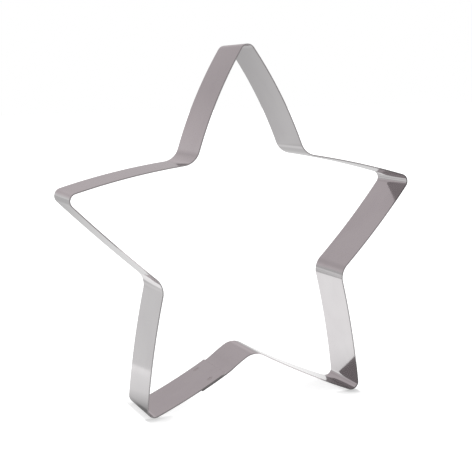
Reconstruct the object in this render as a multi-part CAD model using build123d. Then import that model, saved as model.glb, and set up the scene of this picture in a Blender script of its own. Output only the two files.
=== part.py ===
from build123d import *
from math import atan2, cos, degrees, radians, sin
import os

# A star-shaped cookie cutter, standing on its two lower arms. One steel strip is bent into the outline of a
# five-armed star. Its ends lap over each other in the wall between the bottom valley and the left foot, where
# spot welds join them.
#
# Sizes are in millimetres. X runs to the right, Y runs away from the viewer across the width of the strip,
# and Z runs up. The origin is under the middle of the cutter, on the surface that its feet stand on.

# Strip
strip_width = 25.0
strip_thickness = 0.5

# Star, from its centre to the sharp corners of the middle of the strip
tip_reach = 80.0
valley_reach = 41.5
tip_bend_radius = 3.0
valley_bend_radius = 7.5
wall_bow = 1.0

# Unevenness of a star bent by hand, clockwise from the top
tip_reach_shares = (1.03, 0.96, 1.01, 1.01, 1.0)
valley_reach_shares = (1.04, 1.0, 1.02, 0.95, 1.0)
tip_lean_degrees = (0.0, 0.0, -0.5, 0.5, 0.0)
valley_lean_degrees = (2.5, -1.5, -0.5, 0.5, -2.5)
wall_bow_shares = (2.0, 0.9, 1.0, 1.0, 1.0, 1.4, 1.0, 0.5, 1.3, 2.0)

# Lap of the strip's two ends, and the joggle that brings the outer end out beside the inner one
lap_length = 12.0
lap_clearance = 0.05
lap_middle_share = 0.4
joggle_length = 2.5

# Spot welds through the lap
weld_count = 2
weld_diameter = 2.5
weld_spacing = 16.0
weld_dent = 0.08
drill_overrun = 0.5

# Corners are counted clockwise from the top tip, so tips are even and valleys are odd
arm_count = len(tip_reach_shares)
corner_count = 2 * arm_count
bottom_valley = arm_count
right_foot = bottom_valley - 1
left_foot = bottom_valley + 1

# The outer end of the strip lies one step further out than the inner end
lap_step = strip_thickness + lap_clearance
lap_depth = strip_thickness + lap_step


def star_corners():
    """The sharp corners of the middle of the strip, in a flat star whose top arm points along Y."""
    corners = []
    for arm in range(arm_count):
        tip_bearing = 90 - 360 * arm / arm_count + tip_lean_degrees[arm]
        valley_bearing = 90 - 360 * (arm + 1 / 2) / arm_count + valley_lean_degrees[arm]
        corners.append(polar_point(tip_reach * tip_reach_shares[arm], tip_bearing))
        corners.append(polar_point(valley_reach * valley_reach_shares[arm], valley_bearing))
    return corners


def polar_point(reach, bearing):
    """The point at this reach from the centre of the star, its bearing in degrees."""
    return Vector(cos(radians(bearing)), sin(radians(bearing))) * reach


def bowed_wall(corners, place):
    """The arc from this corner clockwise to the next, bowed out of the star."""
    return SagittaArc(corners[place], corners[(place + 1) % corner_count], wall_bow * wall_bow_shares[place])


def inward(line, share):
    """The direction into the star, square to a line, at this share of its length."""
    along = line % share
    return Vector(along.Y, -along.X)


def arc_beside(line, start_share, end_share, depth):
    """The arc that follows a stretch of an arc, this depth further into the star."""
    shares = (start_share, (start_share + end_share) / 2, end_share)
    return ThreePointArc(*[line @ share + inward(line, share) * depth for share in shares])


def bend(line, corners, radius):
    """The same line with a bend of this radius for each of these sharp corners."""
    return line.fillet_2d(radius, [line.vertices().sort_by_distance(corner)[0] for corner in corners])


def joggle(line, start_share, end_share, depth):
    """Two arcs that lead off an arc at one share of its length to this depth beside it at another."""
    end = line @ end_share + inward(line, end_share) * depth
    middle = (line @ start_share + end) / 2
    return [
        TangentArc(line @ start_share, middle, tangent=line % start_share),
        TangentArc(end, middle, tangent=-(line % end_share)),
    ]


def middle_line(corners):
    """The middle of the strip, clockwise from its inner end round the star to its outer end."""
    lap_wall = bowed_wall(corners, bottom_valley)
    lap_start_share = lap_middle_share - lap_length / lap_wall.length / 2
    lap_end_share = lap_middle_share + lap_length / lap_wall.length / 2
    joggle_start_share = lap_start_share - joggle_length / lap_wall.length

    inner_end = [
        arc_beside(lap_wall, lap_start_share, lap_end_share, 0),
        arc_beside(lap_wall, lap_end_share, 1, 0),
    ]
    outer_end = [
        arc_beside(lap_wall, 0, joggle_start_share, 0),
        *joggle(lap_wall, joggle_start_share, lap_start_share, -lap_step),
        arc_beside(lap_wall, lap_start_share, lap_end_share, -lap_step),
    ]
    whole_walls = [place % corner_count for place in range(left_foot, bottom_valley + corner_count)]
    walls = [bowed_wall(corners, place) for place in whole_walls]

    line = Wire(inner_end + walls + outer_end)
    line = bend(line, corners[::2], tip_bend_radius)
    return bend(line, corners[1::2], valley_bend_radius)


def surface_line(line, depth):
    """The run of arcs that follows the whole line, this depth further into the star."""
    arcs = []
    run = 0
    for edge in line.order_edges():
        start_share = run / line.length
        run += edge.length
        arcs.append(arc_beside(line, start_share, run / line.length, depth))
    return arcs


def strip_section(line):
    """The face of the bent strip, seen on its edge."""
    outer = surface_line(line, -strip_thickness / 2)
    inner = surface_line(line, strip_thickness / 2)
    ends = [Line(outer[0] @ 0, inner[0] @ 0), Line(outer[-1] @ 1, inner[-1] @ 1)]
    return make_face(outer + inner + ends)


def upright(line, section, corners):
    """The place that stands the flat star up on its two feet, with the origin under its middle."""
    left, right = [line.edges().sort_by_distance(corners[foot])[0].arc_center for foot in (left_foot, right_foot)]
    level = Rotation(0, 0, -degrees(atan2(right.Y - left.Y, right.X - left.X)))
    box = (level * section).bounding_box()
    return Plane.XZ.location * Pos(-box.center().X, -box.min.Y) * level


def weld_places(corners):
    """The middle of each weld in the flat star, in a row across the lap."""
    lap_wall = bowed_wall(corners, bottom_valley)
    into_star = inward(lap_wall, lap_middle_share)
    middle = lap_wall @ lap_middle_share - into_star * (lap_step / 2)
    seat = Plane(middle, x_dir=lap_wall % lap_middle_share, z_dir=into_star).location
    return [seat * spot for spot in GridLocations(weld_spacing, weld_spacing, 1, weld_count)]


def weld_nugget():
    """One spot weld, as deep as the lap and dished where the electrodes pressed on it."""
    radius = weld_diameter / 2
    dish_radius = (radius**2 + weld_dent**2) / weld_dent / 2
    dish_height = lap_depth / 2 - weld_dent + dish_radius
    dish = Sphere(dish_radius)
    return Cylinder(radius, lap_depth) - Pos(Z=dish_height) * dish - Pos(Z=-dish_height) * dish


def build_cutter():
    """Every piece of the cutter by its name, in place."""
    corners = star_corners()
    line = middle_line(corners)
    section = strip_section(line)
    place = upright(line, section, corners)
    welds = weld_places(corners)

    drill = Cylinder(weld_diameter / 2, lap_depth + 2 * drill_overrun)
    strip = extrude(Pos(Z=-strip_width / 2) * section, strip_width) - [weld * drill for weld in welds]
    nuggets = [weld * weld_nugget() for weld in welds]
    return {
        "cutter_strip": place * strip,
        "spot_welds": place * Compound(nuggets),
    }


os.makedirs("parts", exist_ok=True)
for name, piece in build_cutter().items():
    export_step(piece, f"parts/{name}.step")
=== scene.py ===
"""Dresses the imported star-shaped cookie cutter in bright rolled steel and sets it up to be photographed.

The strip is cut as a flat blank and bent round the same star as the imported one, finely enough for clean
reflections. Lengths are in metres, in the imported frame: X runs to the right, Y away from the viewer across
the width of the strip, and Z up.
"""

import logging
import math
from bisect import bisect_right
from dataclasses import dataclass, field
from enum import Enum

import bmesh
import bpy
from mathutils import Matrix, Vector


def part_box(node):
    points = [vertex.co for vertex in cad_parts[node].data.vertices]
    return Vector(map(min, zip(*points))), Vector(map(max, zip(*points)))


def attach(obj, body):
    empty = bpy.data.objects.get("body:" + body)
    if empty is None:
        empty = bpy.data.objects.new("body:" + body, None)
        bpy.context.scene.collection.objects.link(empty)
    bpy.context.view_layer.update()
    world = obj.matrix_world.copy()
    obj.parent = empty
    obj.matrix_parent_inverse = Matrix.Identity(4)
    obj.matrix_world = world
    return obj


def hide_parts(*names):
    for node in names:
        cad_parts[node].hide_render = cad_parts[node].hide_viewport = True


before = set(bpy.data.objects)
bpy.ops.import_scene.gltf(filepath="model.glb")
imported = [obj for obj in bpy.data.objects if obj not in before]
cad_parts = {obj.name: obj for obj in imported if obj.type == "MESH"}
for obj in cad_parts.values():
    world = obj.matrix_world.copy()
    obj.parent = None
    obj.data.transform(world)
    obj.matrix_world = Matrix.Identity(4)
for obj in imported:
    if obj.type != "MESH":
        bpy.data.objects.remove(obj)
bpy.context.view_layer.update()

LOG = logging.getLogger("cookie_cutter")
MM = 0.001

# What the inputs of nodes take. A span is where a smooth step begins and where it is full.
Socket = bpy.types.NodeSocket
Value = Socket | float
Colour = tuple[float, float, float]
Rgba = tuple[float, float, float, float]
Tint = Socket | Rgba
Span = tuple[float, float]

BLACK = (0.0, 0.0, 0.0, 1.0)
WHITE = (1.0, 1.0, 1.0, 1.0)

# Where the feet touch the floor: to the right and left of the middle, and from the middle to each rim.
FOOT_X = 46 * MM
FOOT_DEPTH = 12.5 * MM


class Corner(Enum):
    """The two kinds of bend in the star, by the way that the strip turns there."""

    TIP = "tip"
    VALLEY = "valley"


class Region(Enum):
    """The parts of the strip that have a finish of their own, by material index."""

    FACE = 0
    RIM = 1


class PaintedRimLight(Enum):
    """The light and shade painted on stretches of the rim, by how many times as bright each makes the rim.
    """

    # Painted lighter at the inner cut end, so that its rounded edge shows no dark line.
    CUT = 1.7
    # Painted shade along the rim where the two ends lap.
    LAPPED = 0.64
    # Painted dim reflection on some stretches of the rim.
    DULL = 0.4
    # Painted bright reflection on other stretches of the rim.
    WORN = 2.05


@dataclass(frozen=True)
class Arc:
    """A round stretch of the middle of the strip, in the plane of the star.

    Attributes:
        centre: Its centre, x and z.
        radius: Its radius.
        start: The bearing of its start from the centre, in radians.
        sweep: The signed angle that it turns through, negative clockwise.
    """

    centre: Vector
    radius: float
    start: float
    sweep: float

    @property
    def length(self) -> float:
        """The length along the arc."""
        return self.radius * abs(self.sweep)

    def point(self, share: float) -> Vector:
        """The point at this share of the arc's length."""
        return self.centre + self.outward(share) * self.radius

    def outward(self, share: float) -> Vector:
        """The direction from the centre to the point at this share."""
        bearing = self.start + self.sweep * share
        return Vector((math.cos(bearing), math.sin(bearing)))

    def into_star(self, share: float) -> Vector:
        """The direction to the right of the way along, which is into the star."""
        outward = self.outward(share)
        return -outward if self.sweep < 0 else outward

    def heading(self, share: float) -> Vector:
        """The direction along the arc at this share."""
        into_star = self.into_star(share)
        return Vector((-into_star.y, into_star.x))

    def nearest(self, place: Vector) -> Vector:
        """The point of this arc's circle that is nearest to a place."""
        return self.centre + (place - self.centre).normalized() * self.radius

    def moved_in(self, depth: float) -> "Arc":
        """The same arc, this much further into the star."""
        radius = self.radius - depth if self.sweep < 0 else self.radius + depth
        return Arc(self.centre, radius, self.start, self.sweep)

    def turned_back(self) -> "Arc":
        """The same arc from its end to its start."""
        return Arc(self.centre, self.radius, self.start + self.sweep, -self.sweep)

    def part(self, first: float, last: float) -> "Arc":
        """The stretch of this arc between two shares of its length."""
        start = self.start + self.sweep * first
        return Arc(self.centre, self.radius, start, self.sweep * (last - first))


def clockwise_arc(begin: Vector, end: Vector, rise: float) -> Arc:
    """The arc between two points that turns clockwise.

    Args:
        begin: The start of the arc.
        end: The end of the arc.
        rise: How far its middle rises over the chord.

    Returns:
        The arc.
    """
    chord = end - begin
    radius = (chord.length_squared / 4 + rise**2) / (2 * rise)
    left = Vector((-chord.y, chord.x)).normalized()
    centre = (begin + end) / 2 + left * (rise - radius)
    start = math.atan2(*(begin - centre).yx)
    return Arc(centre, radius, start, -2 * math.asin(chord.length / 2 / radius))


def arc_between(centre: Vector, radius: float, begin: Vector, end: Vector, clockwise: bool) -> Arc:
    """The arc about a centre from the bearing of one point to that of another.

    Args:
        centre: The centre of the arc.
        radius: Its radius.
        begin: A point on the bearing of its start.
        end: A point on the bearing of its end.
        clockwise: Whether it turns clockwise.

    Returns:
        The arc.
    """
    start = math.atan2(*(begin - centre).yx)
    turn = math.atan2(*(end - centre).yx) - start
    sweep = -(-turn % math.tau) if clockwise else turn % math.tau
    return Arc(centre, radius, start, sweep)


def tangent_arc(begin: Vector, heading: Vector, end: Vector) -> Arc:
    """The arc that leaves one point along a heading and ends at another.

    Args:
        begin: The start of the arc.
        heading: The direction in which it leaves.
        end: The end of the arc.

    Returns:
        The arc.
    """
    left = Vector((-heading.y, heading.x)).normalized()
    chord = end - begin
    reach = chord.length_squared / 2 / chord.dot(left)
    centre = begin + left * reach
    return arc_between(centre, abs(reach), begin, end, clockwise=reach < 0)


def meeting_point(first: Arc, second: Arc, offset: float, near: Vector) -> Vector:
    """Where two circles cross once their radii have grown by an offset.

    Args:
        first: The arc on the first circle.
        second: The arc on the second circle.
        offset: What is added to both radii.
        near: The crossing nearest this point is the one that is wanted.

    Returns:
        The crossing.
    """
    big, small = first.radius + offset, second.radius + offset
    apart = second.centre - first.centre
    along = (apart.length_squared + big**2 - small**2) / (2 * apart.length)
    aside = math.sqrt(big**2 - along**2)
    unit = apart.normalized()
    square = Vector((-unit.y, unit.x))
    crossings = [first.centre + unit * along + square * side for side in (aside, -aside)]
    return min(crossings, key=lambda place: (place - near).length)


def polar(reach: float, degrees: float) -> Vector:
    """The point at a reach and a bearing from the centre of the star."""
    bearing = math.radians(degrees)
    return Vector((math.cos(bearing), math.sin(bearing))) * reach


@dataclass(frozen=True)
class Stock:
    """The steel strip as it comes, before it is bent."""

    width: float = 25 * MM
    thickness: float = 0.5 * MM


@dataclass(frozen=True)
class Lap:
    """The lap of the strip's two ends, in the wall from the bottom valley to the left foot."""

    length: float = 12 * MM
    clearance: float = 0.05 * MM
    middle_share: float = 0.4
    joggle_length: float = 10 * MM


@dataclass
class StarLine:
    """The middle of the bent strip, clockwise from its inner end round the star to its outer end."""

    stock: Stock
    lap: Lap
    tip_reach: float = 80 * MM
    valley_reach: float = 41.5 * MM
    tip_bend_radius: float = 3 * MM
    valley_bend_radius: float = 7.5 * MM
    wall_bow: float = 1 * MM
    tip_reach_shares: tuple[float, ...] = (1.03, 0.96, 1.01, 1.01, 1.0)
    valley_reach_shares: tuple[float, ...] = (1.04, 1.0, 1.02, 0.95, 1.0)
    tip_lean_degrees: tuple[float, ...] = (0.0, 0.0, -0.5, 0.5, 0.0)
    valley_lean_degrees: tuple[float, ...] = (2.5, -1.5, -0.5, 0.5, -2.5)
    wall_bow_shares: tuple[float, ...] = (2.0, 0.9, 1.0, 1.0, 1.0, 1.4, 1.0, 0.5, 1.3, 2.0)
    top_degrees: float = 90.0
    full_turn_degrees: float = 360.0
    bottom_valley: int = 5
    left_foot: int = 6
    arcs: list[Arc] = field(init=False)
    runs: list[float] = field(init=False)

    def __post_init__(self) -> None:
        """Works out the arcs and where each begins along the line, and stands the star up."""
        self.arcs = self.stood_up(self.bent_line())
        self.runs = [0.0]
        for arc in self.arcs:
            self.runs.append(self.runs[-1] + arc.length)

    @property
    def length(self) -> float:
        """The length of the strip."""
        return self.runs[-1]

    @property
    def lap_step(self) -> float:
        """How much further out the outer end lies than the inner end."""
        return self.stock.thickness + self.lap.clearance

    def corners(self) -> list[Vector]:
        """The sharp corners of the star about its centre.

        Returns:
            The tips and valleys by turns, clockwise from the top tip.
        """
        arms = len(self.tip_reach_shares)
        places = []
        for arm in range(arms):
            tip = self.top_degrees - self.full_turn_degrees * arm / arms
            valley = self.top_degrees - self.full_turn_degrees * (arm + 1 / 2) / arms
            tip_reach = self.tip_reach * self.tip_reach_shares[arm]
            valley_reach = self.valley_reach * self.valley_reach_shares[arm]
            places.append(polar(tip_reach, tip + self.tip_lean_degrees[arm]))
            places.append(polar(valley_reach, valley + self.valley_lean_degrees[arm]))
        return places

    def wall(self, corners: list[Vector], place: int) -> Arc:
        """The bowed wall from a corner to the next."""
        end = corners[(place + 1) % len(corners)]
        return clockwise_arc(corners[place], end, self.wall_bow * self.wall_bow_shares[place])

    def bent_line(self) -> list[Arc]:
        """Every wall and bend in turn, with the lap's wall followed twice.

        Returns:
            The arcs, each beginning where the one before it ends.
        """
        corners = self.corners()
        count = len(corners)
        lap_wall = self.wall(corners, self.bottom_valley)
        half_lap = self.lap.length / lap_wall.length / 2
        lap_start = self.lap.middle_share - half_lap
        lap_end = self.lap.middle_share + half_lap
        joggle_start = lap_start - self.lap.joggle_length / lap_wall.length
        inner_end = lap_wall.part(lap_start, 1)
        outer_wall = lap_wall.part(0, joggle_start)
        outer_end = lap_wall.part(lap_start, lap_end).moved_in(-self.lap_step)

        places = [place % count for place in range(self.left_foot, self.bottom_valley + count)]
        walls = [inner_end] + [self.wall(corners, place) for place in places] + [outer_wall]
        turns = [corners[place % count] for place in range(self.left_foot, self.left_foot + count)]
        kinds = [Corner.TIP if step % 2 == 0 else Corner.VALLEY for step in range(count)]
        return self.with_bends(walls, turns, kinds) + self.joggle(outer_wall, outer_end) + [outer_end]

    def joggle(self, before: Arc, after: Arc) -> list[Arc]:
        """Leads the strip from one arc to another beside it.

        Args:
            before: The arc that it leaves at its end.
            after: The arc that it joins at its start.

        Returns:
            Two arcs that are tangent to these, and meet halfway.
        """
        begin, end = before.point(1), after.point(0)
        middle = (begin + end) / 2
        out = tangent_arc(begin, before.heading(1), middle)
        back = tangent_arc(end, -after.heading(0), middle).turned_back()
        return [out, back]

    def with_bends(self, walls: list[Arc], turns: list[Vector], kinds: list[Corner]) -> list[Arc]:
        """Rounds each sharp turn between two walls.

        Args:
            walls: The walls in turn.
            turns: The sharp corner between each wall and the next.
            kinds: What kind of corner each one is.

        Returns:
            The walls, cut back to the bends, with the bends between them.
        """
        bends = [self.bend(*pair) for pair in zip(walls, walls[1:], turns, kinds)]
        line = []
        begin = walls[0].point(0)
        for wall, bend in zip(walls, bends):
            line += [arc_between(wall.centre, wall.radius, begin, bend.point(0), True), bend]
            begin = bend.point(1)
        last = walls[-1]
        line.append(arc_between(last.centre, last.radius, begin, last.point(1), True))
        return line

    def bend(self, before: Arc, after: Arc, turn: Vector, kind: Corner) -> Arc:
        """The bend that is tangent to two walls.

        Args:
            before: The wall that leads to it.
            after: The wall that leads away.
            turn: The sharp corner that it rounds.
            kind: What kind of corner that is.

        Returns:
            The bend.
        """
        radius = self.tip_bend_radius if kind is Corner.TIP else self.valley_bend_radius
        reach = -radius if kind is Corner.TIP else radius
        centre = meeting_point(before, after, reach, turn)
        begin, end = before.nearest(centre), after.nearest(centre)
        return arc_between(centre, radius, begin, end, kind is Corner.TIP)

    def stood_up(self, arcs: list[Arc]) -> list[Arc]:
        """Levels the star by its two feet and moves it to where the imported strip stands.

        Args:
            arcs: The arcs of the star about its centre.

        Returns:
            The same arcs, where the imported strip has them.
        """
        arcs_per_arm = 4
        tips = arcs[1 : arcs_per_arm * len(self.tip_reach_shares) : arcs_per_arm]
        left, right = tips[0].centre, tips[-1].centre
        lean = math.atan2(right.y - left.y, right.x - left.x)
        level = Matrix.Rotation(-lean, 2)
        edge = self.tip_bend_radius + self.stock.thickness / 2
        places = [level @ tip.centre for tip in tips]
        low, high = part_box("cutter_strip")
        middle = (min(place.x for place in places) + max(place.x for place in places)) / 2
        move = Vector(((low.x + high.x) / 2 - middle, low.z + edge - min(place.y for place in places)))
        return [Arc(level @ arc.centre + move, arc.radius, arc.start - lean, arc.sweep) for arc in arcs]

    def arc_at(self, run: float) -> tuple[Arc, float]:
        """Finds a place on the line.

        Args:
            run: The length along the strip.

        Returns:
            The arc at that length, and the share of it that lies before the place.
        """
        place = min(max(bisect_right(self.runs, run) - 1, 0), len(self.arcs) - 1)
        arc = self.arcs[place]
        return arc, (run - self.runs[place]) / arc.length

    def place(self, run: float, across: float) -> Vector:
        """Where a point of the flat strip lies once the strip is bent.

        Args:
            run: The length along the strip.
            across: The place across its width, from its middle.

        Returns:
            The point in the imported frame.
        """
        arc, share = self.arc_at(run)
        spot = arc.point(share)
        return Vector((spot.x, across, spot.y))

    def seat(self, run: float, across: float) -> Matrix:
        """The place and turn of something set in the strip.

        Args:
            run: The length along the strip.
            across: The place across its width, from its middle.

        Returns:
            A transform that points Z into the star and X along the strip.
        """
        arc, share = self.arc_at(run)
        inward = arc.into_star(share)
        into_star = Vector((inward.x, 0, inward.y))
        along = Vector((-inward.y, 0, inward.x))
        turn = Matrix((along, into_star.cross(along), into_star)).transposed().to_4x4()
        return Matrix.Translation(self.place(run, across)) @ turn


@dataclass(frozen=True)
class Tones:
    """Grey levels or brightnesses that change with a place or an angle.

    Attributes:
        low: Where their range begins.
        high: Where it ends.
        stops: The places where a level is set, each with its level.
    """

    low: float
    high: float
    stops: tuple[tuple[float, float], ...]

    @classmethod
    def over(cls, low: float, high: float, levels: dict[float, float], unit: float = 1.0) -> "Tones":
        """Sets levels over a range.

        Args:
            low: Where the range begins.
            high: Where it ends.
            levels: The level at each place, in order.
            unit: What one stands for in all of these places.

        Returns:
            The levels.
        """
        stops = tuple((place * unit, level) for place, level in levels.items())
        return cls(low * unit, high * unit, stops)


class Nodes:
    """A node tree that is built by naming each node's inputs.

    A Mix node has sockets for several kinds of value, and MIX_ numbers those that it uses for colours.
    """

    MIX_SHARE, MIX_FIRST, MIX_SECOND, MIX_COLOUR = 0, 6, 7, 2

    def __init__(self, tree: bpy.types.NodeTree) -> None:
        """Starts with an empty tree."""
        self.tree = tree
        self.tree.nodes.clear()

    def add(
        self, kind: str, inputs: dict[str | int, Value | Tint] | None = None, **settings: object
    ) -> bpy.types.Node:
        """Adds a node.

        Args:
            kind: The node's type.
            inputs: A value or an output for each named or numbered input.
            settings: The node's own properties.

        Returns:
            The node.
        """
        node = self.tree.nodes.new(kind)
        for name, value in settings.items():
            setattr(node, name, value)
        for name, value in (inputs or {}).items():
            if isinstance(value, Socket):
                self.tree.links.new(value, node.inputs[name])
            else:
                node.inputs[name].default_value = value
        return node

    def math(self, operation: str, *values: Value) -> Socket:
        """The result of a sum or a function of one to three values."""
        return self.add("ShaderNodeMath", dict(enumerate(values)), operation=operation).outputs[0]

    def smooth(self, value: Socket, low: float, high: float) -> Socket:
        """A smooth step from 0 at low to 1 at high."""
        inputs = {"Value": value, "From Min": low, "From Max": high}
        return self.add("ShaderNodeMapRange", inputs, interpolation_type="SMOOTHSTEP").outputs["Result"]

    def distance(self, x: Socket, y: Socket) -> Socket:
        """The length of a step aside and a step on."""
        step = self.add("ShaderNodeCombineXYZ", {"X": x, "Y": y}).outputs["Vector"]
        return self.add("ShaderNodeVectorMath", {0: step}, operation="LENGTH").outputs["Value"]

    def mix(self, kind: str, share: Value, first: Tint, second: Tint) -> Socket:
        """Mixes two colours.

        Args:
            kind: How they are mixed.
            share: How far, from 0 to 1.
            first: The first colour.
            second: The second colour.

        Returns:
            The mixed colour.
        """
        inputs = {self.MIX_SHARE: share, self.MIX_FIRST: first, self.MIX_SECOND: second}
        node = self.add("ShaderNodeMix", inputs, data_type="RGBA", blend_type=kind)
        return node.outputs[self.MIX_COLOUR]

    def blend(self, share: Value, first: Tint, second: Tint) -> Socket:
        """A colour between two others."""
        return self.mix("MIX", share, first, second)

    def multiply(self, first: Tint, second: Tint) -> Socket:
        """The product of two colours."""
        return self.mix("MULTIPLY", 1.0, first, second)

    def ramp(self, value: Socket, tones: Tones) -> Socket:
        """Turns a value into a grey level.

        Args:
            value: The value.
            tones: The levels, and where each one is reached.

        Returns:
            The grey level, as a colour.
        """
        inputs = {"Value": value, "From Min": tones.low, "From Max": tones.high}
        share = self.add("ShaderNodeMapRange", inputs).outputs["Result"]
        node = self.add("ShaderNodeValToRGB", {"Fac": share})
        elements = node.color_ramp.elements
        elements.remove(elements[-1])
        for index, (place, level) in enumerate(sorted(tones.stops)):
            element = elements[0] if index == 0 else elements.new(1)
            element.position = (place - tones.low) / (tones.high - tones.low)
            element.color = grey(level)
        return node.outputs["Color"]

    def noise(self, place: Socket, scale: float, detail: float) -> Socket:
        """Even random unevenness at a scale."""
        inputs = {"Vector": place, "Scale": scale, "Detail": detail}
        return self.add("ShaderNodeTexNoise", inputs).outputs["Fac"]

    def bump(self, height: Socket, depth: float, over: Socket | None = None) -> Socket:
        """A surface raised by a height, over another such surface if there is one."""
        inputs = {"Height": height, "Distance": depth} | ({} if over is None else {"Normal": over})
        return self.add("ShaderNodeBump", inputs).outputs["Normal"]

    def steel(self, colour: Socket, roughness: Value, normal: Socket) -> None:
        """Ends the tree in bare metal.

        Args:
            colour: Its colour.
            roughness: Its roughness.
            normal: Its surface.
        """
        inputs = {"Base Color": colour, "Metallic": 1.0, "Roughness": roughness, "Normal": normal}
        shader = self.add("ShaderNodeBsdfPrincipled", inputs)
        self.add("ShaderNodeOutputMaterial", {"Surface": shader.outputs["BSDF"]})


def rgba(colour: Colour) -> Rgba:
    """A colour with its alpha."""
    return (*colour, 1.0)


def grey(level: float) -> Rgba:
    """A grey level as a colour with its alpha."""
    return (level, level, level, 1.0)


def new_material(name: str) -> tuple[bpy.types.Material, Nodes]:
    """Starts a material.

    Args:
        name: The material's name.

    Returns:
        The material, and its empty node tree.
    """
    material = bpy.data.materials.new(name)
    material.use_nodes = True
    return material, Nodes(material.node_tree)


@dataclass(frozen=True)
class RolledSteel:
    """The bright rolled face of the strip, with faint lines along it and slight waves."""

    name: str = "rolled_steel"
    colour: Colour = (0.71, 0.69, 0.695)
    dull_colour: Colour = (0.66, 0.635, 0.645)
    roughness: float = 0.07
    dull_roughness: float = 0.13
    line_length: float = 40 * MM
    line_width: float = 0.12 * MM
    line_depth: float = 0.0006 * MM
    line_detail: float = 3.0
    wave_length: float = 14 * MM
    wave_depth: float = 0.02 * MM
    wave_detail: float = 2.0
    patch_edge: Span = (0.35, 0.7)
    line_share: float = 0.5

    def material(self) -> bpy.types.Material:
        """Builds the material.

        Returns:
            The material.
        """
        material, nodes = new_material(self.name)
        flat = nodes.add("ShaderNodeUVMap", uv_map=CutterStrip.UV_NAME).outputs["UV"]
        place = nodes.add("ShaderNodeTexCoord").outputs["Object"]
        stretch = (1 / self.line_length, 1 / self.line_width, 1.0)
        drawn = nodes.add("ShaderNodeMapping", {"Vector": flat, "Scale": stretch}).outputs["Vector"]
        lines = nodes.noise(drawn, 1.0, self.line_detail)
        waves = nodes.noise(place, 1 / self.wave_length, self.wave_detail)
        patches = nodes.math("MULTIPLY", nodes.smooth(waves, *self.patch_edge), 1 - self.line_share)
        dullness = nodes.math("MULTIPLY_ADD", lines, self.line_share, patches)
        colour = nodes.blend(dullness, rgba(self.colour), rgba(self.dull_colour))
        rise = self.dull_roughness - self.roughness
        roughness = nodes.math("MULTIPLY_ADD", dullness, rise, self.roughness)
        wavy = nodes.bump(waves, self.wave_depth)
        nodes.steel(colour, roughness, nodes.bump(lines, self.line_depth, over=wavy))
        return material


@dataclass(frozen=True)
class Stretch:
    """A stretch of the rim, by the length along the strip, and the light or shade painted on it."""

    start: float
    end: float
    painted_light: PaintedRimLight


@dataclass(frozen=True)
class ShearedSteel:
    """The sheared rim of the strip, duller and rougher than its faces, uneven in grain, and with painted
    light and shade along it.
    """

    name: str = "sheared_steel"
    colour: Colour = (0.36, 0.342, 0.346)
    pale_colour: Colour = (0.46, 0.442, 0.446)
    roughness: float = 0.22
    grain: float = 0.6 * MM
    depth: float = 0.01 * MM
    detail: float = 4.0
    # How far the painted lightening at the cut end reaches, and how long each painted stretch takes to blend
    # in.
    cut_length: float = 0.35 * MM
    blend_length: float = 3 * MM
    # Stretches of the rim with a painted dim or painted bright reflection.
    stretches: tuple[Stretch, ...] = (
        Stretch(98 * MM, 110 * MM, PaintedRimLight.WORN),
        Stretch(328 * MM, 352 * MM, PaintedRimLight.DULL),
        Stretch(430 * MM, 453 * MM, PaintedRimLight.DULL),
        Stretch(459 * MM, 488 * MM, PaintedRimLight.WORN),
    )

    def painted_rim_light_along(self, line: StarLine) -> Tones:
        """The light and shade painted on the rim along the strip.

        Args:
            line: The bent strip.

        Returns:
            The painted brightness by the length along it: lighter at the cut end, painted shade where the
            ends lap, and painted dim or bright reflections in places.
        """
        inner_lap, outer_lap = line.lap.length, line.length - line.lap.length
        # Painted lighter at the inner cut end, and painted shade along both lapped ends.
        stops = [
            (0.0, PaintedRimLight.CUT.value),
            (self.cut_length, PaintedRimLight.LAPPED.value),
            (inner_lap, PaintedRimLight.LAPPED.value),
            (inner_lap + self.blend_length, 1.0),
            (outer_lap - self.blend_length, 1.0),
            (outer_lap, PaintedRimLight.LAPPED.value),
            (line.length, PaintedRimLight.LAPPED.value),
        ]
        # Painted dim or bright reflections over the listed stretches.
        for stretch in self.stretches:
            stops.append((stretch.start - self.blend_length, 1.0))
            stops.append((stretch.start, stretch.painted_light.value))
            stops.append((stretch.end, stretch.painted_light.value))
            stops.append((stretch.end + self.blend_length, 1.0))
        return Tones(0.0, line.length, tuple(stops))

    def material(self, line: StarLine) -> bpy.types.Material:
        """Builds the material.

        Args:
            line: The bent strip, which the painted light and shade follow.

        Returns:
            The material.
        """
        material, nodes = new_material(self.name)
        place = nodes.add("ShaderNodeTexCoord").outputs["Object"]
        grain = nodes.noise(place, 1 / self.grain, self.detail)
        flat = nodes.add("ShaderNodeUVMap", uv_map=CutterStrip.UV_NAME).outputs["UV"]
        run = nodes.add("ShaderNodeSeparateXYZ", {"Vector": flat}).outputs["X"]
        colour = nodes.blend(grain, rgba(self.colour), rgba(self.pale_colour))
        # Painted light and shade along the rim, by the length along the strip.
        colour = nodes.multiply(colour, nodes.ramp(run, self.painted_rim_light_along(line)))
        nodes.steel(colour, self.roughness, nodes.bump(grain, self.depth))
        return material


@dataclass(frozen=True)
class WeldedSteel:
    """The dished face of a spot weld, dulled and faintly tinted by heat."""

    name: str = "welded_steel"
    colour: Colour = (0.64, 0.61, 0.60)
    heat_colour: Colour = (0.54, 0.51, 0.515)
    roughness: float = 0.17
    grain: float = 0.5 * MM
    depth: float = 0.01 * MM
    detail: float = 3.0

    def material(self) -> bpy.types.Material:
        """Builds the material.

        Returns:
            The material.
        """
        material, nodes = new_material(self.name)
        place = nodes.add("ShaderNodeTexCoord").outputs["Object"]
        grain = nodes.noise(place, 1 / self.grain, self.detail)
        colour = nodes.blend(grain, rgba(self.colour), rgba(self.heat_colour))
        nodes.steel(colour, self.roughness, nodes.bump(grain, self.depth))
        return material


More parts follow.
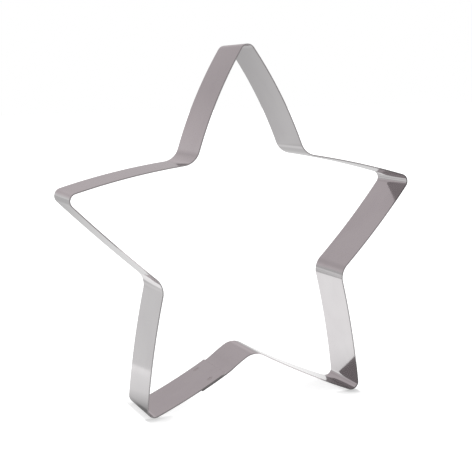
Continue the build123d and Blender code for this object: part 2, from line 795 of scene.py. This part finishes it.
def piece_from(mesh: bmesh.types.BMesh, name: str, materials: list[bpy.types.Material]) -> bpy.types.Object:
    """Makes a shaded object of a finished mesh.

    Args:
        mesh: The mesh, in place.
        name: The piece's name.
        materials: Its materials in the order of their indices.

    Returns:
        The object, at the origin.
    """
    data = bpy.data.meshes.new(name)
    mesh.to_mesh(data)
    mesh.free()
    for material in materials:
        data.materials.append(material)
    data.shade_smooth()
    piece = bpy.data.objects.new(name, data)
    bpy.context.scene.collection.objects.link(piece)
    return piece


@dataclass
class SpotWelds:
    """The spot welds through the lap, in a row across the strip."""

    line: StarLine
    count: int = 2
    diameter: float = 2.5 * MM
    spacing: float = 16 * MM
    dent: float = 0.08 * MM
    segments: int = 24
    rings: int = 6
    finish: WeldedSteel = WeldedSteel()

    @property
    def across(self) -> list[float]:
        """The place of each weld across the strip."""
        return [self.spacing * (index - (self.count - 1) / 2) for index in range(self.count)]

    @property
    def half_depth(self) -> float:
        """Half of the depth of the lap."""
        return (self.line.stock.thickness + self.line.lap_step) / 2

    @property
    def inner_run(self) -> float:
        """The place of the welds along the strip in its inner end."""
        return self.line.lap.length / 2

    @property
    def outer_run(self) -> float:
        """The place of the welds along the strip in its outer end."""
        return self.line.length - self.line.arcs[-1].length / 2

    def dish(self, mesh: bmesh.types.BMesh, cap: bmesh.types.BMFace) -> list[bmesh.types.BMVert]:
        """Presses rings into one end of a weld, deepest in its middle.

        Args:
            mesh: The mesh that holds the weld, with its axis on Z.
            cap: The face that closes this end.

        Returns:
            The points of the new rings.
        """
        side = math.copysign(1, cap.calc_center_median().z)
        ring_width = self.diameter / 2 / self.rings
        points = []
        for ring in range(1, self.rings):
            reach = 1 - ring / self.rings
            bmesh.ops.inset_individual(mesh, faces=[cap], thickness=ring_width, use_even_offset=True)
            for vert in cap.verts:
                vert.co.z = side * (self.half_depth - self.dent * (1 - reach**2))
            points += cap.verts
        return points

    def nugget(self, mesh: bmesh.types.BMesh, seat: Matrix) -> None:
        """Adds one weld, dished on both faces.

        Args:
            mesh: The mesh that it goes into.
            seat: Its place, its Z through the lap.
        """
        radius = self.diameter / 2
        made = bmesh.ops.create_cone(
            mesh,
            cap_ends=True,
            segments=self.segments,
            radius1=radius,
            radius2=radius,
            depth=2 * self.half_depth,
        )
        points = made["verts"]
        faces = dict.fromkeys(face for vert in points for face in vert.link_faces)
        for cap in [face for face in faces if len(face.verts) == self.segments]:
            points += self.dish(mesh, cap)
        bmesh.ops.transform(mesh, matrix=seat, verts=points)

    def build(self) -> bpy.types.Object:
        """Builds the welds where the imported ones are.

        Returns:
            The piece.
        """
        mesh = bmesh.new()
        for across in self.across:
            to_lap_middle = Matrix.Translation((0, 0, -self.line.lap_step / 2))
            self.nugget(mesh, self.line.seat(self.inner_run, across) @ to_lap_middle)
        piece = piece_from(mesh, "spot_weld_nuggets", [self.finish.material()])
        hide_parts("spot_welds")
        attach(piece, "root")
        return piece


@dataclass
class CutterStrip:
    """The one steel strip, cut as a flat blank and bent round the star.

    The blank starts as a square grid that is one unit wide, so it reaches HALF_UNIT each way.
    """

    UV_NAME = "flat_strip"
    HALF_UNIT = 0.5

    line: StarLine
    welds: SpotWelds
    step: float = 0.5 * MM
    rows: int = 24
    window_rows: int = 4
    window_steps: int = 8
    seat_margin_steps: float = 0.2
    edge_round: float = 0.2 * MM
    edge_segments: int = 4
    face_finish: RolledSteel = RolledSteel()
    rim_finish: ShearedSteel = ShearedSteel()

    @property
    def steps(self) -> int:
        """How many steps the flat strip has along it."""
        return round(self.line.length / self.step)

    def blank(self) -> bmesh.types.BMesh:
        """Cuts the flat strip, and marks its outer edges to be rounded.

        Returns:
            The flat strip, X along it from its inner end and Y across it.
        """
        length, width = self.line.length, self.line.stock.width
        mesh = bmesh.new()
        bmesh.ops.create_grid(mesh, x_segments=self.steps, y_segments=self.rows, size=self.HALF_UNIT)
        bmesh.ops.scale(mesh, vec=(length, width, 1), verts=mesh.verts)
        bmesh.ops.translate(mesh, vec=(length / 2, 0, 0), verts=mesh.verts)
        rounded = mesh.edges.layers.float.new("bevel_weight_edge")
        for edge in mesh.edges:
            edge[rounded] = 1.0 if edge.is_boundary else 0.0
        return mesh

    def pierce(self, mesh: bmesh.types.BMesh, run: float, across: float) -> None:
        """Opens a round seat for a weld in the flat strip.

        Args:
            mesh: The flat strip.
            run: The place of the seat along the strip.
            across: Its place across the strip.
        """
        row = self.line.stock.width / self.rows
        column = self.line.length / self.steps
        half_x = self.window_steps / 2 * column
        half_y = self.window_rows / 2 * row
        middle_x = round((run - half_x) / column) * column + half_x
        middle_y = round((across - half_y) / row) * row + half_y
        window = []
        for face in mesh.faces:
            centre = face.calc_center_median()
            if abs(centre.x - middle_x) < half_x and abs(centre.y - middle_y) < half_y:
                window.append(face)
        margin = self.seat_margin_steps * column
        surround = bmesh.ops.inset_region(mesh, faces=window, thickness=margin, use_even_offset=True)
        bmesh.ops.delete(mesh, geom=window, context="FACES")
        middle = Vector((run, across, 0))
        seat_edges = {edge for face in surround["faces"] for edge in face.edges if edge.is_boundary}
        for vert in {vert for edge in seat_edges for vert in edge.verts}:
            vert.co = middle + (vert.co - middle).normalized() * (self.welds.diameter / 2)
        for edge in seat_edges:
            edge.smooth = False

    def bend(self, mesh: bmesh.types.BMesh) -> None:
        """Keeps each point's place on the flat strip as its UV, and bends the strip round the star.

        Args:
            mesh: The flat strip.
        """
        flat = mesh.loops.layers.uv.new(self.UV_NAME)
        for face in mesh.faces:
            for corner in face.loops:
                corner[flat].uv = corner.vert.co.xy
        for vert in mesh.verts:
            vert.co = self.line.place(vert.co.x, vert.co.y)

    def thicken(self, piece: bpy.types.Object) -> None:
        """Gives the sheet its thickness and rounds its outer edges.

        Args:
            piece: The bent sheet.
        """
        wall = piece.modifiers.new("thickness", "SOLIDIFY")
        wall.thickness = self.line.stock.thickness
        wall.offset = 0
        wall.use_even_offset = True
        wall.material_offset_rim = Region.RIM.value
        edge = piece.modifiers.new("broken_edges", "BEVEL")
        edge.width = self.edge_round
        edge.segments = self.edge_segments
        edge.use_clamp_overlap = False
        edge.limit_method = "WEIGHT"
        edge.material = Region.RIM.value
        edge.harden_normals = True

    def build(self) -> bpy.types.Object:
        """Cuts, pierces, bends and finishes the strip.

        Returns:
            The piece.
        """
        mesh = self.blank()
        for run in (self.welds.inner_run, self.welds.outer_run):
            for across in self.welds.across:
                self.pierce(mesh, run, across)
        bmesh.ops.recalc_face_normals(mesh, faces=mesh.faces)
        self.bend(mesh)
        finishes = {
            Region.FACE: self.face_finish.material(),
            Region.RIM: self.rim_finish.material(self.line),
        }
        piece = piece_from(mesh, "bent_strip", [finishes[region] for region in Region])
        self.thicken(piece)
        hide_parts("cutter_strip")
        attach(piece, "root")
        return piece


class Sight:
    """Tells a node tree how a ray came to see the studio.

    Bounces are whole numbers, so the limits between none, one and two of them lie halfway.
    """

    NONE_TO_ONE = 0.5
    ONE_TO_TWO = 1.5

    def __init__(self, nodes: Nodes) -> None:
        """Reads the ray in this tree."""
        self.nodes = nodes
        self.ray = nodes.add("ShaderNodeLightPath").outputs

    def by_camera(self) -> Socket:
        """Whether the camera sees the studio straight."""
        return self.ray["Is Camera Ray"]

    def in_steel(self) -> Socket:
        """Whether the camera sees the studio by way of the steel alone."""
        straight = self.nodes.math("LESS_THAN", self.ray["Diffuse Depth"], self.NONE_TO_ONE)
        return self.nodes.math("MULTIPLY", self.ray["Is Glossy Ray"], straight)

    def twice_in_steel(self) -> Socket:
        """Whether it does so by way of the steel reflected in itself."""
        return self.nodes.math("GREATER_THAN", self.ray["Glossy Depth"], self.ONE_TO_TWO)

    def dimming(self, second: float) -> Socket:
        """The studio's share of its light in a reflection: this much in a second one, and else all of it."""
        return self.nodes.math("MULTIPLY_ADD", self.twice_in_steel(), second - 1, 1.0)


@dataclass(frozen=True)
class Edge:
    """A straight edge on the floor, by how far back it lies at x = 0 and how that changes with x."""

    back: float
    slope: float

    def reach(self, nodes: Nodes, x: Socket) -> Socket:
        """How far back the edge lies at x."""
        return nodes.math("MULTIPLY_ADD", x, self.slope, self.back)


@dataclass(frozen=True)
class Pool:
    """The shade round one foot on the paper, narrower to the sides than to the front and back."""

    x: float
    tones: Tones
    narrowing: float = 1.5

    def shade(self, nodes: Nodes, place: Socket) -> Socket:
        """How bright the paper is round the foot.

        Args:
            nodes: The node tree.
            place: The place on the floor.

        Returns:
            The share of light that is left.
        """
        move = (-self.narrowing * self.x, 0, 0)
        inputs = {"Vector": place, "Location": move, "Scale": (self.narrowing, 1, 1)}
        from_foot = nodes.add("ShaderNodeMapping", inputs).outputs["Vector"]
        away = nodes.add("ShaderNodeVectorMath", {0: from_foot}, operation="LENGTH").outputs["Value"]
        return nodes.ramp(away, self.tones)


@dataclass(frozen=True)
class MirroredFloor:
    """The floor that the steel reflects: white paper under the cutter, and a greyer studio floor past it.

    How far back a place lies counts the same to the front of the cutter as behind it.

    Attributes:
        paper_end: Where the paper ends behind the cutter.
        cut_edge: The oblique end of the paper, further left.
        side_edge: The side of the paper, between those two.
        paper_blend: How soft the edge of the paper is.
        pools: The shade round each foot.
        left_floor: The studio floor to the left of the middle.
        gap_floor: The darker part of it, within gap_left and gap_right.
        middle_floor: The studio floor behind the middle.
        far_left_grey: The level of the floor past far_left, an edge that leans by far_left_lean.
        far_right_grey: The level of the floor past far_right.
    """

    paper_end: float = 165 * MM
    cut_edge: Edge = Edge(181 * MM, 0.9)
    side_edge: Edge = Edge(692 * MM, 8.0)
    paper_blend: float = 4 * MM
    pools: tuple[Pool, ...] = (
        Pool(-FOOT_X, Tones.over(0, 150, {5: 0.2, 14: 0.44, 25: 0.62, 45: 0.82, 90: 0.9, 110: 1.0}, MM)),
        Pool(FOOT_X, Tones.over(0, 150, {8: 0.6, 15: 0.82, 30: 0.93, 50: 1.0}, MM)),
    )
    left_floor: Tones = Tones.over(
        150, 400, {160: 0.83, 200: 0.78, 250: 0.74, 310: 0.66, 330: 0.6, 380: 0.52}, MM
    )
    gap_floor: Tones = Tones.over(
        150, 400, {160: 0.7, 190: 0.56, 250: 0.58, 300: 0.66, 330: 0.6, 380: 0.52}, MM
    )
    gap_left: Span = (-95 * MM, -70 * MM)
    gap_right: Span = (-18 * MM, -40 * MM)
    middle_floor: Tones = Tones.over(150, 400, {160: 0.62, 220: 0.61, 290: 0.65, 380: 0.55}, MM)
    middle_blend: Span = (-5 * MM, 20 * MM)
    far_left: Span = (-30 * MM, -58 * MM)
    far_left_lean: float = 0.3
    far_left_grey: float = 0.735
    far_right: Span = (50 * MM, 150 * MM)
    far_right_grey: float = 0.70

    def paper(self, nodes: Nodes, place: Socket) -> Socket:
        """The paper, shaded round the feet.

        Args:
            nodes: The node tree.
            place: The place on the floor.

        Returns:
            Its colour.
        """
        paper = WHITE
        for pool in self.pools:
            paper = nodes.multiply(paper, pool.shade(nodes, place))
        return paper

    def past_paper(self, nodes: Nodes, x: Socket, back: Socket) -> Socket:
        """Whether a place is past the end of the paper.

        Args:
            nodes: The node tree.
            x: The place to the right.
            back: How far back it lies.

        Returns:
            The share of the studio floor that shows.
        """
        left_end = nodes.math("MAXIMUM", self.cut_edge.reach(nodes, x), self.side_edge.reach(nodes, x))
        end = nodes.math("MINIMUM", left_end, self.paper_end)
        return nodes.smooth(nodes.math("SUBTRACT", back, end), 0.0, self.paper_blend)

    def studio_floor(self, nodes: Nodes, x: Socket, back: Socket) -> Socket:
        """The floor past the paper.

        Args:
            nodes: The node tree.
            x: The place to the right.
            back: How far back it lies.

        Returns:
            Its colour.
        """
        left = nodes.ramp(back, self.left_floor)
        in_gap = nodes.math("MULTIPLY", nodes.smooth(x, *self.gap_left), nodes.smooth(x, *self.gap_right))
        left = nodes.blend(in_gap, left, nodes.ramp(back, self.gap_floor))
        middle = nodes.ramp(back, self.middle_floor)
        floor = nodes.blend(nodes.smooth(x, *self.middle_blend), left, middle)
        floor = nodes.blend(nodes.smooth(x, *self.far_right), floor, grey(self.far_right_grey))
        leaning = nodes.math("MULTIPLY_ADD", back, self.far_left_lean, x)
        return nodes.blend(nodes.smooth(leaning, *self.far_left), floor, grey(self.far_left_grey))

    def colour(self, nodes: Nodes, place: Socket, x: Socket, back: Socket) -> Socket:
        """The colour of the whole floor.

        Args:
            nodes: The node tree.
            place: The place on the floor.
            x: The same place to the right.
            back: How far back it lies.

        Returns:
            Its colour.
        """
        past_paper = self.past_paper(nodes, x, back)
        return nodes.blend(past_paper, self.paper(nodes, place), self.studio_floor(nodes, x, back))


@dataclass(frozen=True)
class ContactShade:
    """The faint shade on the floor where the feet touch it.

    Attributes:
        outside_narrowing: How much sooner the shade ends outside a foot than inside it.
        beneath: The narrow shade along each foot, by the distance from it.
        patch_move: How far to the right the patches before the feet are moved.
        patch_inset: How far inside each foot a patch has its middle.
        patch_narrowing: How much sooner a patch ends to the sides than to the front.
        patch: The patch before a foot, by the distance from its middle.
        patch_start: Where the patch begins, from the front rim.
    """

    outside_narrowing: float = 6.0
    beneath: Tones = Tones.over(0, 10, {0: 0.7, 2: 0.74, 4: 0.84, 6: 1.0}, MM)
    patch_move: float = 0.8 * MM
    patch_inset: float = 4 * MM
    patch_narrowing: float = 1.4
    patch: Tones = Tones.over(0, 12, {0: 0.56, 2: 0.6, 4: 0.66, 6: 0.71, 8: 0.78, 11: 1.0}, MM)
    patch_start: Span = (-1.5 * MM, 0.5 * MM)

    def colour(self, nodes: Nodes, x: Socket, y: Socket, back: Socket) -> Socket:
        """The shade over the whole floor.

        Args:
            nodes: The node tree.
            x: The place to the right.
            y: The place away from the viewer.
            back: How far back or forward it lies.

        Returns:
            The share of light that is left.
        """
        past_rim = nodes.math("MAXIMUM", nodes.math("SUBTRACT", back, FOOT_DEPTH), 0.0)
        outside = nodes.math("SUBTRACT", nodes.math("ABSOLUTE", x), FOOT_X)
        narrowed = nodes.math("MULTIPLY", outside, self.outside_narrowing)
        aside = nodes.math("MAXIMUM", narrowed, nodes.math("MULTIPLY", outside, -1.0))
        beneath = nodes.ramp(nodes.distance(aside, past_rim), self.beneath)

        moved = nodes.math("ABSOLUTE", nodes.math("SUBTRACT", x, self.patch_move))
        outside = nodes.math("ADD", nodes.math("SUBTRACT", moved, FOOT_X), self.patch_inset)
        aside = nodes.math("MULTIPLY", outside, self.patch_narrowing)
        patch = nodes.ramp(nodes.distance(aside, past_rim), self.patch)
        start, full = self.patch_start
        before = nodes.smooth(nodes.math("MULTIPLY", y, -1.0), FOOT_DEPTH + start, FOOT_DEPTH + full)
        return nodes.multiply(beneath, nodes.blend(before, WHITE, patch))


@dataclass(frozen=True)
class MirroredWalls:
    """The studio that the steel reflects above the floor, by degrees up from level and round to the right.

    Attributes:
        left_wall: The wall to the left, upwards.
        right_wall: The wall to the right, upwards.
        wall_blend: Where the one wall goes over into the other.
        corner_side: Where the dark corner at the far left begins and is full.
        corner_up: How high it is, from its top down.
        corner_share: How dark it is.
        cast_up: Where the walls take their faint mauve cast.
        box_side: The inner edge of the large soft light at the right.
        box_up: The lower edge of it.
    """

    left_wall: Tones = Tones.over(
        -90,
        90,
        {0: 0.7, 4: 0.66, 8: 0.58, 12: 0.52, 16: 0.455, 20: 0.44, 24: 0.46, 26: 0.49, 28: 0.5, 90: 0.5},
    )
    right_wall: Tones = Tones.over(
        -90,
        90,
        {0: 0.7, 4: 0.58, 8: 0.48, 12: 0.49, 16: 0.56, 19: 0.54, 22: 0.46, 26: 0.49, 28: 0.5, 90: 0.5},
    )
    wall_blend: Span = (-14.0, 0.0)
    corner_side: Span = (-22.0, -29.0)
    corner_up: Span = (12.0, 0.0)
    corner_share: float = 0.3
    cast_up: Span = (0.0, 12.0)
    box_side: Span = (25.0, 45.0)
    box_up: Span = (26.0, 36.0)

    def colour(self, nodes: Nodes, up: Socket, side: Socket, mauve: Colour) -> Socket:
        """The colour of the studio.

        Args:
            nodes: The node tree.
            up: The angle up from level, in degrees.
            side: The angle round to the right, in degrees.
            mauve: The cast of the walls.

        Returns:
            Its colour.
        """
        left, right = nodes.ramp(up, self.left_wall), nodes.ramp(up, self.right_wall)
        wall = nodes.blend(nodes.smooth(side, *self.wall_blend), left, right)
        corner = nodes.math(
            "MULTIPLY", nodes.smooth(side, *self.corner_side), nodes.smooth(up, *self.corner_up)
        )
        wall = nodes.blend(nodes.math("MULTIPLY", corner, self.corner_share), wall, BLACK)
        wall = nodes.multiply(wall, nodes.blend(nodes.smooth(up, *self.cast_up), WHITE, rgba(mauve)))
        soft_box = nodes.math("MULTIPLY", nodes.smooth(side, *self.box_side), nodes.smooth(up, *self.box_up))
        return nodes.blend(soft_box, wall, WHITE)


@dataclass
class Studio:
    """The floor, the light and the camera.

    A camera that isn't turned looks straight down, DOWN_TO_LEVEL_DEGREES from level.
    """

    DOWN_TO_LEVEL_DEGREES = 90.0

    camera_place: tuple[float, float, float] = (-170.7 * MM, -422.7 * MM, 132.7 * MM)
    camera_yaw_degrees: float = 21.88
    camera_pitch_degrees: float = 8.13
    camera_roll_degrees: float = 1.65
    lens_mm: float = 85.9
    nearest_view: float = 10 * MM
    floor_radius: float = 4.0
    floor_segments: int = 96
    floor_grey: float = 0.6
    floor_glow: float = 0.85
    fill_strength: float = 0.9
    sun_strength: float = 0.3
    sun_spread_degrees: float = 70.0
    sun_forward_degrees: float = -12.0
    sun_aside_degrees: float = 10.0
    mauve: Colour = (1.05, 0.965, 0.99)
    second_reflection: float = 0.5
    mirrored_floor: MirroredFloor = MirroredFloor()
    mirrored_walls: MirroredWalls = MirroredWalls()
    contact_shade: ContactShade = ContactShade()

    def build(self) -> None:
        """Sets everything up."""
        self.set_view()
        self.add_camera()
        self.add_floor()
        self.add_world()
        self.add_sun()

    def set_view(self) -> None:
        """Shows colours as they are written."""
        bpy.context.scene.view_settings.view_transform = "Standard"

    def add_camera(self) -> None:
        """Stands the camera at the photograph's viewpoint."""
        data = bpy.data.cameras.new("camera")
        data.lens = self.lens_mm
        data.clip_start = self.nearest_view
        camera = bpy.data.objects.new("camera", data)
        tilt_degrees = self.DOWN_TO_LEVEL_DEGREES - self.camera_pitch_degrees
        yaw = Matrix.Rotation(math.radians(-self.camera_yaw_degrees), 4, "Z")
        pitch = Matrix.Rotation(math.radians(tilt_degrees), 4, "X")
        roll = Matrix.Rotation(math.radians(-self.camera_roll_degrees), 4, "Z")
        camera.matrix_world = Matrix.Translation(self.camera_place) @ yaw @ pitch @ roll
        bpy.context.scene.collection.objects.link(camera)
        bpy.context.scene.camera = camera

    def add_floor(self) -> None:
        """Lays a pale floor under the feet."""
        mesh = bmesh.new()
        bmesh.ops.create_circle(mesh, cap_ends=True, segments=self.floor_segments, radius=self.floor_radius)
        floor = piece_from(mesh, "studio_floor", [self.floor_material()])

    def floor_material(self) -> bpy.types.Material:
        """White paper to the camera, and the mirrored floor to the steel.

        Returns:
            The material.
        """
        material, nodes = new_material("studio_floor")
        material.cycles.emission_sampling = "NONE"
        place = nodes.add("ShaderNodeTexCoord").outputs["Object"]
        axes = nodes.add("ShaderNodeSeparateXYZ", {"Vector": place}).outputs
        back = nodes.math("ABSOLUTE", axes["Y"])
        sight = Sight(nodes)

        reflected = self.mirrored_floor.colour(nodes, place, axes["X"], back)
        cast = nodes.blend(sight.twice_in_steel(), WHITE, rgba(self.mauve))
        inputs = {
            "Color": nodes.multiply(reflected, cast),
            "Strength": sight.dimming(self.second_reflection),
        }
        mirrored = nodes.add("ShaderNodeEmission", inputs).outputs["Emission"]

        # Painted contact shadow round the feet, in the paper's colour for the camera and for the light.
        paper = self.contact_shade.colour(nodes, axes["X"], axes["Y"], back)
        inputs = {"Color": nodes.multiply(paper, grey(self.floor_grey))}
        lit = nodes.add("ShaderNodeBsdfDiffuse", inputs).outputs["BSDF"]
        inputs = {"Color": nodes.multiply(paper, grey(self.floor_glow)), "Strength": sight.by_camera()}
        glow = nodes.add("ShaderNodeEmission", inputs).outputs["Emission"]
        shown = nodes.add("ShaderNodeAddShader", {0: lit, 1: glow}).outputs["Shader"]
        surface = nodes.add("ShaderNodeMixShader", {0: sight.in_steel(), 1: shown, 2: mirrored})
        nodes.add("ShaderNodeOutputMaterial", {"Surface": surface.outputs["Shader"]})
        return material

    def add_world(self) -> None:
        """A white surround for the camera, and a studio with grey walls for the steel."""
        world = bpy.data.worlds.new("studio")
        world.use_nodes = True
        bpy.context.scene.world = world
        nodes = Nodes(world.node_tree)
        direction = nodes.add("ShaderNodeTexCoord").outputs["Generated"]
        axes = nodes.add("ShaderNodeSeparateXYZ", {"Vector": direction}).outputs
        up = nodes.math("MULTIPLY", nodes.math("ARCSINE", axes["Z"]), math.degrees(1))
        round_to_right = nodes.math("ARCTAN2", axes["X"], nodes.math("ABSOLUTE", axes["Y"]))
        side = nodes.math("MULTIPLY", round_to_right, math.degrees(1))
        sight = Sight(nodes)

        inputs = {
            "Color": self.mirrored_walls.colour(nodes, up, side, self.mauve),
            "Strength": sight.dimming(self.second_reflection),
        }
        mirrored = nodes.add("ShaderNodeBackground", inputs).outputs["Background"]
        fill = nodes.blend(sight.by_camera(), grey(self.fill_strength), WHITE)
        shown = nodes.add("ShaderNodeBackground", {"Color": fill}).outputs["Background"]
        surface = nodes.add("ShaderNodeMixShader", {0: sight.in_steel(), 1: shown, 2: mirrored})
        nodes.add("ShaderNodeOutputWorld", {"Surface": surface.outputs["Shader"]})

    def add_sun(self) -> None:
        """One broad soft light from above, which casts a faint real shadow of the feet; the contact shade
        round them is painted on the floor.
        """
        data = bpy.data.lights.new("soft_light", "SUN")
        data.energy = self.sun_strength
        data.angle = math.radians(self.sun_spread_degrees)
        light = bpy.data.objects.new("soft_light", data)
        forward = Matrix.Rotation(math.radians(self.sun_forward_degrees), 4, "X")
        aside = Matrix.Rotation(math.radians(self.sun_aside_degrees), 4, "Y")
        light.matrix_world = forward @ aside
        light.visible_glossy = False
        bpy.context.scene.collection.objects.link(light)


def main() -> None:
    """Builds the cutter and the studio in order."""
    logging.basicConfig(level=logging.INFO, format="%(message)s")
    line = StarLine(Stock(), Lap())
    welds = SpotWelds(line)
    strip = CutterStrip(line, welds)
    for maker in (strip, welds):
        piece = maker.build()
        faces = len(piece.data.polygons)
        LOG.info("%s: %d faces, strip length %.1f mm", piece.name, faces, line.length / MM)
    Studio().build()


if __name__ == "__main__":
    main()
